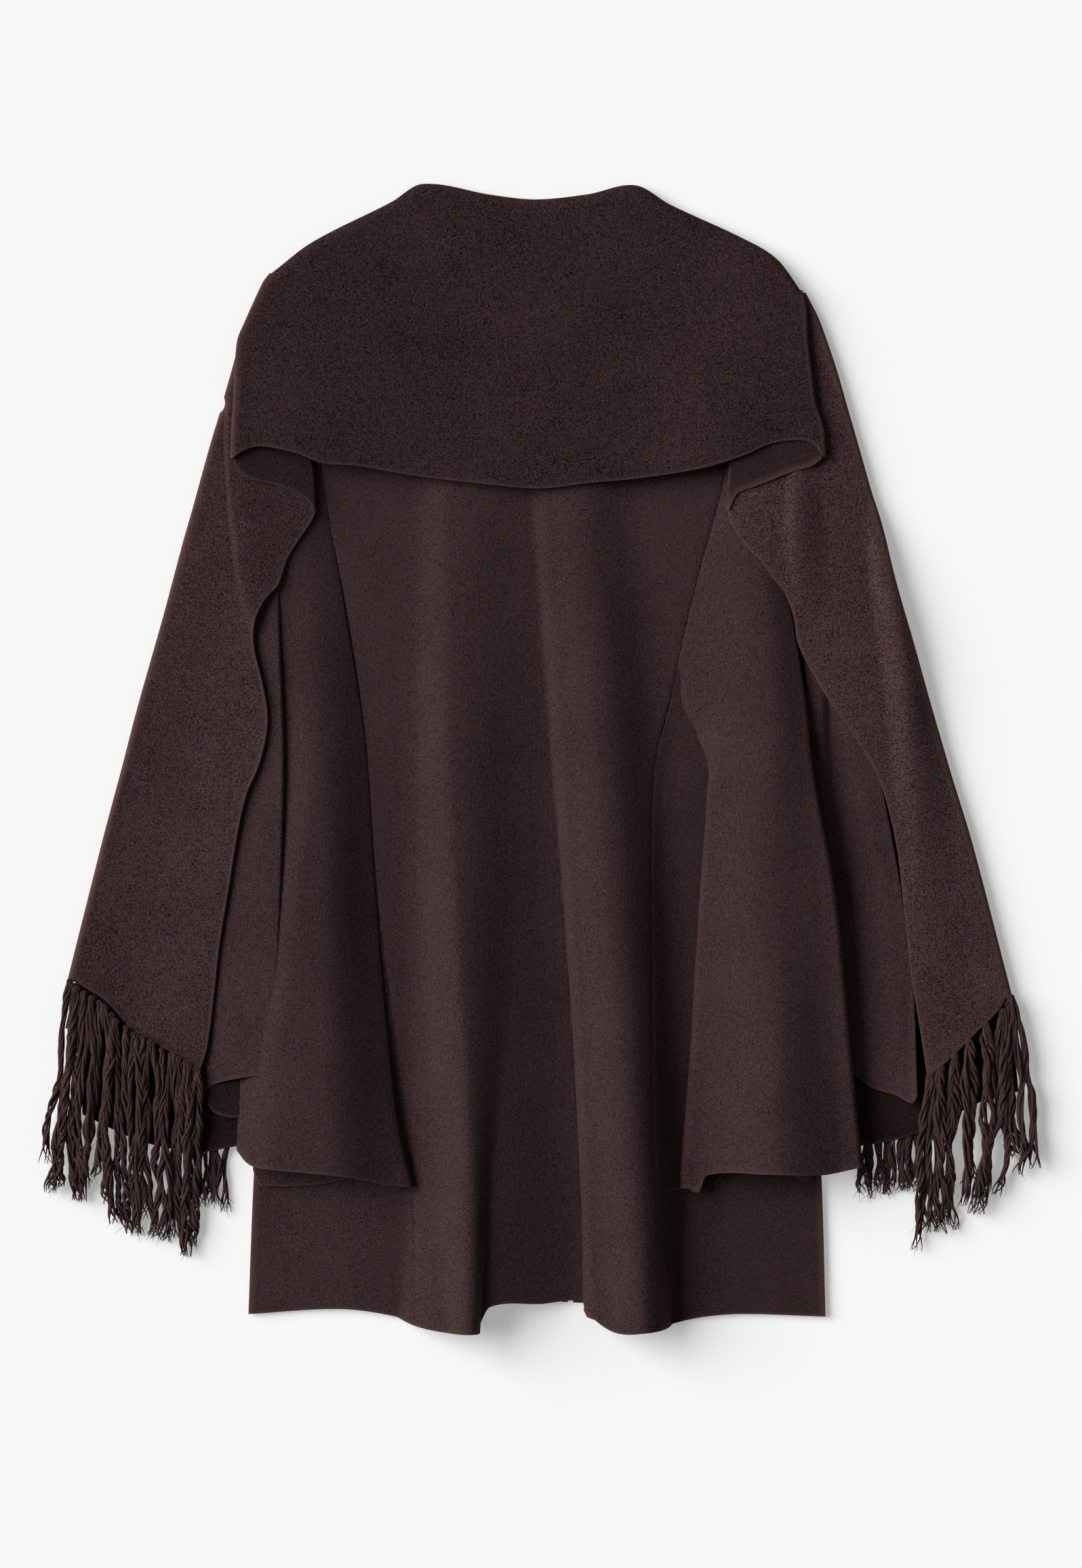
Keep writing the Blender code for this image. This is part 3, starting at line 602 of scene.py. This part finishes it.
flap = {
    "name": "scarf_flap",
    "left": [(0, -204), (65, -208), (71, -211.5), (78, -216), (86, -220), (94, -223.6), (110, -230.6),
             (124, -236), (172, -239), (214, -241)],
    "right": [(0, 186), (65, 198), (84, 203), (99, 206), (123, 207), (148, 210), (172, 213.3),
              (190, 219), (206, 220.7), (214, 221)],
    "top": neckLine,
    "hem": [(-241, 215), (-234.5, 210), (-221, 206), (-191, 211.5), (-172, 219), (-145, 221),
            (-100, 228.5), (-54, 234), (-2, 238.5), (37, 234.5), (82, 230), (128, 222.5), (159, 213),
            (180, 204), (201, 201), (214, 204), (221, 214)],
    "lift": flapLift,
    "cut": ("hem", "right"),
    "fold": ("left",),
    "rollLeft": [(0, 1.2, 60, 0.5), (90, 1.3, 120, 1), (214, 1.5, 175, 2)],
    "rollRight": [(0, 1.2, 60, 0.5), (90, 1.3, 120, 1), (214, 1.5, 175, 2)],
    "grid": (150, 84), "waves": 1.2}
loopLeft = {
    "name": "scarf_loop_left",
    "left": [(95, -221), (150, -236), (206, -239.5), (257, -239.5)],
    "right": [(95, -196), (150, -188), (206, -181), (228, -177.5), (257, -176)],
    "top": 95,
    "hem": [(-239.5, 217), (-236.6, 224), (-225, 231.5), (-205, 236.5), (-189.5, 242.5), (-179, 249.5),
            (-176, 256.5)],
    "lift": [(95, 12, 10, 0), (150, 15, 10.4, 0), (206, 18.2, 10.8, 0), (257, 18.4, 10.8, 0)],
    "rollRight": [(95, 1.0, 150, 1), (257, 1.1, 175, 1)],
    "grid": (34, 60), "waves": 0}
loopRight = {
    "name": "scarf_loop_right",
    "left": [(95, 168), (150, 157), (206, 150), (257, 145.5)],
    "right": [(95, 203.5), (150, 208.5), (206, 218), (257, 219.5)],
    "top": 98,
    "hem": [(145.5, 255.5), (148.7, 248), (152.4, 242), (164.6, 237.5), (181.5, 231), (198.5, 224.5),
            (210, 221.5), (219.5, 215)],
    "lift": [(95, 11, 12, 0), (150, 13.2, 14.4, 0), (206, 15.2, 16.8, 0), (257, 15.6, 17, 0)],
    "rollLeft": [(95, 1.0, 150, 1), (257, 1.1, 175, 1)],
    "fold": ("hem",),
    "grid": (34, 60), "waves": 0}
endLeft = {
    "name": "scarf_end_left",
    "left": [(76, -216), (86, -220.2), (94, -224), (110, -230.6), (142, -239.4), (174, -248.4),
             (206, -258), (256, -272), (280, -279), (325, -291), (351, -298), (413, -315),
             (458, -326.5), (505, -339), (550, -350.5), (619, -368), (692, -386)],
    "right": [(85, -197), (142, -190), (206, -182), (256, -176), (264.5, -179.4), (279.8, -189.5),
              (294, -198), (313.8, -204.8), (325.4, -214.9), (339.2, -221.8), (351.4, -223.9),
              (365.2, -222.9), (389, -217), (412.9, -212.8), (432.5, -213.9), (457.9, -220.7),
              (475.9, -228.7), (504.6, -235.6), (549.6, -243), (594.7, -250.4), (633.4, -254.7),
              (673.6, -260), (691.7, -265.3)],
    "top": 88,
    "hem": [(-368, 623), (-360, 627), (-343, 637.5), (-322, 659), (-290, 678), (-265.3, 691.5)],
    "lift": [(85, 8.5, 8.5, 0), (142, 8, 8.8, 0), (206, 8, 9.4, 0), (256, 8, 10.2, 1), (280, 8, 12.6, 1),
             (325, 8, 17.6, 0), (351, 8, 19, -1), (413, 8, 20.8, -3.5), (458, 8, 20.6, -4),
             (505, 8, 19, -4), (550, 8, 17.5, -3), (619, 8, 16, -2), (692, 8, 15.5, -1)],
    "ridges": [[(120, -243.6, 2.8, 50, 0), (200, -244, 2.8, 62, 6), (228, -243.2, 2.8, 66, 7),
                (273, -239, 2.8, 60, 7), (320, -232.5, 2.8, 36, 5.5), (345, -224, 2.8, 20, 2),
                (356, -221, 3, 20, 0)]],
    "rollLeft": [(85, 2.5, 170, 3), (692, 3.2, 175, 6)],
    "cut": ("right", "hem"), "fold": ("left",),
    "grid": (80, 216)}
endRight = {
    "name": "scarf_end_right",
    "left": [(90, 166), (142, 156), (206, 148), (255.5, 145.5), (267.1, 148.7), (284.1, 160.3),
             (294.7, 170.9), (309.5, 181.5), (320.1, 190), (337.1, 196.4), (360.4, 200.6),
             (381.6, 211.2), (402.8, 223.9), (424, 238.8), (443.1, 251.5), (468, 264.7), (513.6, 276.4),
             (564.5, 282.8), (617.5, 288.6), (666.7, 296.5), (698.5, 301.3)],
    "right": [(76, 199), (86, 206), (94, 210.2), (102, 214.4), (110, 217.8), (142, 228.9), (174, 238.4),
              (206, 247.8), (256, 262), (284, 270), (320, 280), (360, 292),
              (403, 304), (443, 315), (468, 322), (514, 336), (617, 363), (698, 384)],
    "top": moved(neckLine, 1.5),
    "hem": [(301.5, 698), (322, 681), (344, 660), (360, 645), (367, 633.5)],
    "lift": [(76, 6, 4.6, 0), (95, 9, 7.6, 0), (142, 10, 8.5, 0), (206, 12.5, 8.5, 2), (256, 14, 9, 3),
             (284, 15.4, 9.4, 3), (330, 16, 9.6, 2), (360, 15.8, 9.6, 2), (403, 15.6, 9.6, 1),
             (443, 15.2, 9.6, 0), (617, 14.6, 9.6, 1), (698, 14.4, 9.4, 2)],
    "ridges": [[(240, 262, 10, 14, 0), (292, 268, 16, 14, 6), (354, 280, 20, 20, 9),
                (428, 288, 20, 26, 7.5), (520, 296, 22, 30, 3), (640, 305, 24, 34, 0)],
               [(206, 199, 10, 22, 0), (240, 199, 10, 22, 4), (280, 200, 13, 26, 4),
                (340, 204, 10, 24, 0)]],
    "rollRight": [(76, 1.5, 170, 1), (120, 2.5, 170, 3), (698, 3.2, 175, 6)],
    "cut": ("left", "hem"), "fold": ("right",),
    "grid": (60, 240)}
scarfFronts = [
    {"name": "scarf_front_left", "left": [(95, -214), (142, -234), (301, -283), (500, -335), (660, -372)],
     "right": [(95, -200), (142, -198), (301, -216), (500, -236), (660, -247)], "top": 98, "hem": 660,
     "lift": [(95, 1, 1, 0), (660, 1, 1, 0)], "grid": (14, 56), "waves": 0},
    {"name": "scarf_front_right", "left": [(95, 194), (142, 193), (301, 212), (500, 232), (660, 245)],
     "right": [(95, 206), (142, 222), (301, 272), (500, 330), (660, 372)], "top": 98, "hem": 660,
     "lift": [(95, 1, 1, 0), (660, 1, 1, 0)], "grid": (14, 56), "waves": 0}]

# the darker copies here are painted shade, the lighter one on the right scarf end painted light
wools = {   # surface and cut edge of the pieces that differ from plain felt
    "side_back_right": (feltShade, feltShade),
    "sleeve_under_fold_right": (feltShade, feltShade),
    "sleeve_back_left": (feltPaintedDeepShade, feltCutFibresAndHighlight),
    "sleeve_back_right": (feltPaintedDeepShade, feltCutFibresAndHighlight),
    "sleeve_fold_layer_left": (feltPaintedDeepShade, feltCutFibresAndHighlight),
    "scarf_end_left": (feltScarf, feltCutFibresAndHighlight),
    "scarf_end_right": (feltPaintedLightScarfRight, feltSoftCutFibresAndHighlight),
    "scarf_front_left": (feltScarf, feltCutFibresAndHighlight),
    "scarf_front_right": (feltScarf, feltCutFibresAndHighlight),
    "scarf_loop_left": (feltPaintedShade, feltCutFibresAndHighlight),
    "scarf_loop_right": (feltPaintedShade, feltCutFibresAndHighlight),
    "scarf_flap": (feltPaintedFlapShade, feltCutFibresAndHighlight),
}
for cloth in bodyPieces + sleevePieces + [endLeft, endRight] + scarfFronts + [loopLeft, loopRight, flap]:
    sewCloth(cloth, wools.get(cloth["name"], (felt, feltCutFibresAndHighlight)))
print("cape and scarf sewn")

# Fringe

tasselsLeft = [   # each strand from its knot to its tip: across, down
    [(-367.8, 622), (-372.3, 653.6), (-375, 689), (-380.4, 715.6), (-385, 735), (-387.5, 765)],
    [(-367, 623), (-366, 659), (-370.5, 699.6), (-376.8, 735), (-379.5, 759.8), (-382.2, 788)],
    [(-362.4, 628), (-365.1, 662.5), (-369.6, 699.6), (-372.3, 731.5), (-375, 759.8), (-376, 783)],
    [(-361.6, 628), (-359.7, 664), (-363.3, 699.6), (-367, 735), (-366, 765), (-363.3, 793.4)],
    [(-351, 635), (-354.3, 667.8), (-358.8, 706.7), (-363.3, 735), (-358, 759.8), (-358.8, 795)],
    [(-350, 635), (-349.8, 671.3), (-350.7, 706.7), (-353.4, 738.6), (-355.2, 759.8), (-357, 784.6)],
    [(-341.5, 641), (-344.4, 671.3), (-348, 706.7), (-350.7, 735), (-354.3, 756), (-359.7, 775.7)],
    [(-340, 642), (-337.2, 674.8), (-340, 706.7), (-341.7, 735), (-344.4, 756.3), (-350.7, 775)],
    [(-332.5, 652), (-335.4, 685.5), (-340, 721), (-339, 752.7), (-336.3, 784.6), (-332.7, 812)],
    [(-331, 653), (-330, 689), (-331, 724.4), (-330, 759.8), (-331, 791.7), (-322.8, 817.3)],
    [(-317.5, 663), (-319.2, 696), (-321, 731.5), (-319.2, 765), (-317.4, 795.2), (-316.5, 821.8)],
    [(-315.5, 664), (-313, 699.6), (-313.8, 735), (-315.6, 770.4), (-313.8, 820)],
    [(-305, 669), (-307.5, 699.6), (-306.6, 735), (-308.4, 765), (-304, 791.7), (-304.8, 822)],
    [(-303, 670), (-299.4, 703), (-298.5, 738.6), (-301.2, 765), (-298.5, 791.7), (-303, 821)],
    [(-288, 679), (-290.4, 713.8), (-293, 745.6), (-290.4, 777.5), (-289.5, 804), (-294, 826)],
    [(-286, 680), (-284, 715.6), (-285, 747.4), (-286.8, 777.5), (-287.7, 823.5)],
    [(-277, 685), (-279.6, 717.3), (-282.3, 749.2), (-282.3, 781), (-283.2, 809.4), (-279.6, 837)],
    [(-275.5, 686), (-274.2, 721), (-276, 752.7), (-277.8, 784.6), (-277.8, 813), (-277, 838)],
    [(-269, 690), (-271.5, 724.4), (-273.3, 756.3), (-272.4, 788), (-272.4, 830)],
    [(-267, 691), (-266, 728), (-268, 759.8), (-268.8, 791.7), (-272.5, 829)]]
tasselsRight = [
    [(366.5, 634), (373.5, 662.2), (379.8, 692.5), (383.3, 714), (383.3, 738.8), (386.5, 769)],
    [(365.5, 634), (370.8, 662.2), (374.4, 692.5), (374.4, 717.4), (375.3, 742.3), (378, 756.6),
     (373.2, 774)],
    [(360.5, 645), (360, 671), (360, 699.6), (359.2, 724.5), (353, 746), (346.8, 774.4), (342.3, 804.6)],
    [(361.5, 645), (364.6, 665.8), (365.5, 692.5), (363.7, 717.4), (370.8, 738.8), (377, 755)],
    [(359.5, 646), (356, 670), (357.5, 699.6), (360, 733.4), (364.6, 749.5), (370, 760)],
    [(346.2, 657), (346.8, 678.3), (347.6, 706.7), (345, 731.7), (345, 760), (338.7, 804.6)],
    [(347.6, 656), (350.3, 678.3), (351.2, 706.7), (354, 728), (349.4, 751), (345, 786.8)],
    [(334.8, 669), (337, 692.5), (337, 717.4), (335, 746), (336, 781.5)],
    [(333.4, 670), (330.7, 692.5), (330.7, 717.4), (333.4, 742.3), (331.6, 770.8), (329, 798.4)],
    [(323.4, 680), (324.4, 703.2), (323.5, 728), (320, 756.6), (320, 785), (323.5, 817)],
    [(322, 681), (319, 703.2), (317.3, 731.7), (319, 760), (316.4, 788.6), (315.5, 810)],
    [(312.6, 689), (312, 710.3), (313.7, 738.8), (312.8, 767.3), (314.6, 792.2), (311, 819)],
    [(311.2, 690), (308.4, 710.3), (308.4, 738.8), (309.3, 767.3), (307.5, 795.7), (308.4, 806.4)],
    [(304, 696), (304.8, 717.4), (302, 746), (304, 770.8), (303, 795.7), (305.3, 819)],
    [(302.5, 697), (299.4, 717.4), (297.7, 742.3), (296.8, 767.3), (292.3, 795.7), (296, 810),
     (293.5, 833)]]
fringeLift = [(600, 10.5, 18.5), (692, 9.6, 17), (757, 9, 10.5), (800, 4.5, 4.5), (840, 2.6, 2.6)]
yarn = {
    "plies": 5,
    "plyRadius": 1.05,
    "plyOffset": 1.75,      # from the middle of the strand
    "twist": 52.0,          # length of one turn
    "step": 2.6,            # between two points of a ply
    "fray": 16.0,           # length of the loose end
    "hairs": 7,
    "hairLength": (4, 11),
    "hairRadius": (0.20, 0.08),
    "knotRadius": 0.85,
    "dark": (0.0080, 0.0032, 0.0031, 1),
    "light": (0.070, 0.033, 0.032, 1),
    "sheen": 0.08,
}


def strandPath(points, step):
    rows = [(index,) + tuple(point) for index, point in enumerate(points)]
    length = sum(((b[0] - a[0])**2 + (b[1] - a[1])**2)**0.5 for a, b in zip(points, points[1:]))
    at = np.linspace(0, len(points) - 1, max(int(length / step), 6))
    return np.stack([through(rows, at, 1), through(rows, at, 2)], 1), length


def addYarn(curves, points, radii):
    line = curves.splines.new("POLY")
    line.points.add(len(points) - 1)
    for point, place, radius in zip(line.points, points, radii):
        point.co = (place[0] * mm, (capeLength / 2 - place[1]) * mm, place[2] * mm, 1)
        point.radius = radius


def wobble(along, chance, shortest, longest):   # a slow wave of chance length and start
    return np.sin(along / chance.uniform(shortest, longest) + chance.uniform(0, 6.3))


def knotFringe(name, strands, liftAt, seed, size=1):
    chance = random.Random(seed)
    deselectAll()
    bpy.ops.curve.primitive_bezier_curve_add()
    piece = bpy.context.object
    piece.name = name
    curves = piece.data
    curves.splines.clear()
    curves.dimensions = "3D"
    curves.bevel_depth = 1.0 * mm
    curves.bevel_resolution = 1
    curves.use_fill_caps = True
    for number, strand in enumerate(strands):
        path, length = strandPath(strand, yarn["step"])
        share = np.linspace(0, 1, len(path))
        side = np.gradient(path, axis=0)
        side /= np.linalg.norm(side, axis=1)[:, None]
        along = share * length
        wave = np.zeros(len(path))
        for _ in range(3):
            wave += chance.uniform(0.3, 0.9) * wobble(along, chance, 5, 14)
        across = path[:, 0] + wave * side[:, 1] * ease(0.03, 0.25, share)
        down = path[:, 1]
        lift = liftAt(across, down) + (number % 3) * 1.1 * ease(0, 0.3, share)   # some lie on others
        left = length * (1 - share)
        loose = np.clip(1 - left / yarn["fray"], 0, 1)
        thick = size * chance.uniform(0.9, 1.2) * (1 + 0.16 * np.sin(along / 6 + number))
        start = chance.uniform(0, 6.3)
        turns = chance.uniform(0.6, 1.5) * length / yarn["twist"] * chance.choice((-1, 1))
        for ply in range(yarn["plies"]):
            angle = start + ply * 2 * pi / yarn["plies"] + share * turns * 2 * pi
            angle = angle + 0.5 * wobble(along, chance, 7, 16)
            out = yarn["plyOffset"] * thick * (0.5 + 0.5 * ease(0, 0.1, share)) * (1 + 1.3 * loose)
            out = out * (1 + 0.35 * wobble(along, chance, 9, 20))
            drift = chance.uniform(-3, 3) * loose**2
            points = np.stack([across + np.cos(angle) * out * side[:, 1] + drift,
                               down - np.cos(angle) * out * side[:, 0],
                               np.maximum(lift + np.sin(angle) * out, yarn["plyRadius"])], 1)
            addYarn(curves, points, yarn["plyRadius"] * thick * (1 - 0.75 * loose))
        for _ in range(yarn["hairs"]):
            at = int(len(path) * (1 - chance.random()**2 * 0.35)) - 1
            reach = chance.uniform(*yarn["hairLength"])
            lean, turn = chance.uniform(-0.9, 0.9), chance.uniform(-0.5, 0.5)
            steps = np.linspace(0, 1, 6)
            bend = reach * steps * sin(lean) + turn * 3 * steps**2
            points = np.stack([across[at] + chance.uniform(-1, 1) + bend,
                               down[at] - 2 + reach * steps * cos(lean),
                               np.maximum(lift[at] + chance.uniform(-1, 1) * (1 - steps), 0.3)], 1)
            thickEnd, thinEnd = yarn["hairRadius"]
            addYarn(curves, points, thickEnd + (thinEnd - thickEnd) * steps)
        knot = np.linspace(0, 1, 7)   # the loop that ties the strand through the cloth's edge
        points = np.stack([across[0] + 1.8 * np.cos(knot * 2 * pi),
                           down[0] + 1.0 + 1.6 * np.sin(knot * 2 * pi),
                           lift[0] + 0.5 + 0.9 * np.sin(knot * pi)], 1)
        addYarn(curves, points, np.full(len(knot), yarn["knotRadius"]))
    bpy.ops.object.convert(target="MESH")
    piece = bpy.context.object
    piece.name = piece.data.name = name
    piece.data.materials.clear()
    piece.data.materials.append(wool)
    bpy.ops.object.shade_smooth()
    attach(piece, "root")
    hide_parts(name)
    return piece


def backFringeLift(across, down):
    outer, inner = through(fringeLift, down, 1), through(fringeLift, down, 2)
    return outer + (inner - outer) * np.clip((370 - np.abs(across)) / 90, 0, 1)


def frontFringeLift(across, down):
    return 0.2 + 1.8 * ease(735, 752, down)


def fillers(strands, seed):   # a strand in each gap between two pairs of strands
    chance = random.Random(seed)
    more = []
    for left, right in zip(strands[1::2], strands[2::2]):
        count = min(len(left), len(right))
        share = chance.uniform(0.35, 0.65)
        more.append([(a[0] + (b[0] - a[0]) * share + chance.uniform(-1.5, 1.5),
                      a[1] + (b[1] - a[1]) * share) for a, b in zip(left[:count], right[:count])])
    return more


def frontStrands(starts, tips, seed):
    chance = random.Random(seed)
    strands = []
    for across in starts:
        tip = curve(tips, across) + chance.uniform(-7, 5)
        lean = chance.uniform(-2.5, 2.5)
        strands.append([(across, 668), (across + lean * 0.3, 700), (across + lean, 745),
                        (across + lean * 0.4, 770), (across + lean * 1.3, float(tip))])
    return strands


def paintYarn(name):
    paint = Paint(name)
    place = paint.place()
    along = paint.node("ShaderNodeMapping", {}, {"Vector": place, "Scale": (1.0, 0.16, 1.0)})
    fibre = paint.noise(along, 1500, 3, 0.65)
    patch = paint.noise(place, 120, 2, 0.5)
    value = fibre * 0.7 + patch * 0.3
    color = paint.blend(paint.between(0.30, 0.72, value), yarn["dark"], yarn["light"])
    paint.give(paint.shader.inputs["Base Color"], color)
    paint.give(paint.shader.inputs["Roughness"], 0.82 + patch * 0.16)
    bump = paint.node("ShaderNodeBump", {}, {"Strength": 0.7, "Distance": 0.6 * mm, "Height": fibre})
    paint.give(paint.shader.inputs["Normal"], bump)
    paint.shader.inputs["Specular IOR Level"].default_value = 0.2
    paint.shader.inputs["Sheen Weight"].default_value = yarn["sheen"]
    paint.shader.inputs["Sheen Tint"].default_value = woolSheen
    return paint.material


wool = paintYarn("fringe_yarn")
frontLeft = frontStrands(np.arange(-268, -245, 3.4), [(-269, 796), (-246, 806)], 7)
frontRight = frontStrands(np.arange(249, 298, 3.4), [(246, 790), (297, 786)], 9)
fringes = {   # by the sheet that each hangs from
    "scarf_end_left": knotFringe("fringe_left", tasselsLeft + fillers(tasselsLeft, 13), backFringeLift, 3),
    "scarf_end_right": knotFringe("fringe_right", tasselsRight + fillers(tasselsRight, 17),
                                  backFringeLift, 5),
    "scarf_front_left": knotFringe("fringe_front_left", frontLeft, frontFringeLift, 7, 0.76),
    "scarf_front_right": knotFringe("fringe_front_right", frontRight, frontFringeLift, 9, 0.74),
}
print("fringe knotted")
# Studio

studio = {
    "floorColor": (0.62, 0.62, 0.62, 1),
    "floorGlow": 0.312,
    "sun": 4.9,
    "sunSoftness": 46,
    "sunFrom": (-0.82, 0.30, 0.56),
    "sky": 0.17,
    "cameraHeight": 5.0,
    "cameraAlong": -0.0199,
    "pictureHeight": 1.2259,    # what the photograph's height covers, in metres
    "sensor": 36,
}


def setStudio():
    deselectAll()
    bpy.ops.mesh.primitive_plane_add(size=30, location=(0, 0, -0.0004))
    floor = bpy.context.object
    floor.name = "floor"
    paint = Paint("floor")
    paint.shader.inputs["Base Color"].default_value = studio["floorColor"]
    paint.shader.inputs["Roughness"].default_value = 1
    paint.shader.inputs["Specular IOR Level"].default_value = 0
    paint.shader.inputs["Emission Color"].default_value = (1, 1, 1, 1)
    paint.shader.inputs["Emission Strength"].default_value = studio["floorGlow"]
    floor.data.materials.append(paint.material)
    bpy.ops.object.light_add(type="SUN")
    sun = bpy.context.object
    sun.name = "softbox"
    sun.data.energy = studio["sun"]
    sun.data.angle = radians(studio["sunSoftness"])
    sun.rotation_mode = "QUATERNION"
    sun.rotation_quaternion = Vector(studio["sunFrom"]).to_track_quat("Z", "Y")
    world = bpy.data.worlds.new("studio")
    bpy.context.scene.world = world
    world.use_nodes = True
    world.node_tree.nodes["Background"].inputs["Color"].default_value = (1, 1, 1, 1)
    world.node_tree.nodes["Background"].inputs["Strength"].default_value = studio["sky"]
    place = (0, studio["cameraAlong"], studio["cameraHeight"])
    bpy.ops.object.camera_add(location=place, rotation=(0, 0, 0))
    camera = bpy.context.object
    camera.data.sensor_width = studio["sensor"]
    camera.data.lens = studio["sensor"] * studio["cameraHeight"] / studio["pictureHeight"]
    bpy.context.scene.camera = camera
    bpy.context.scene.view_settings.view_transform = "Standard"


setStudio()
print("studio set")
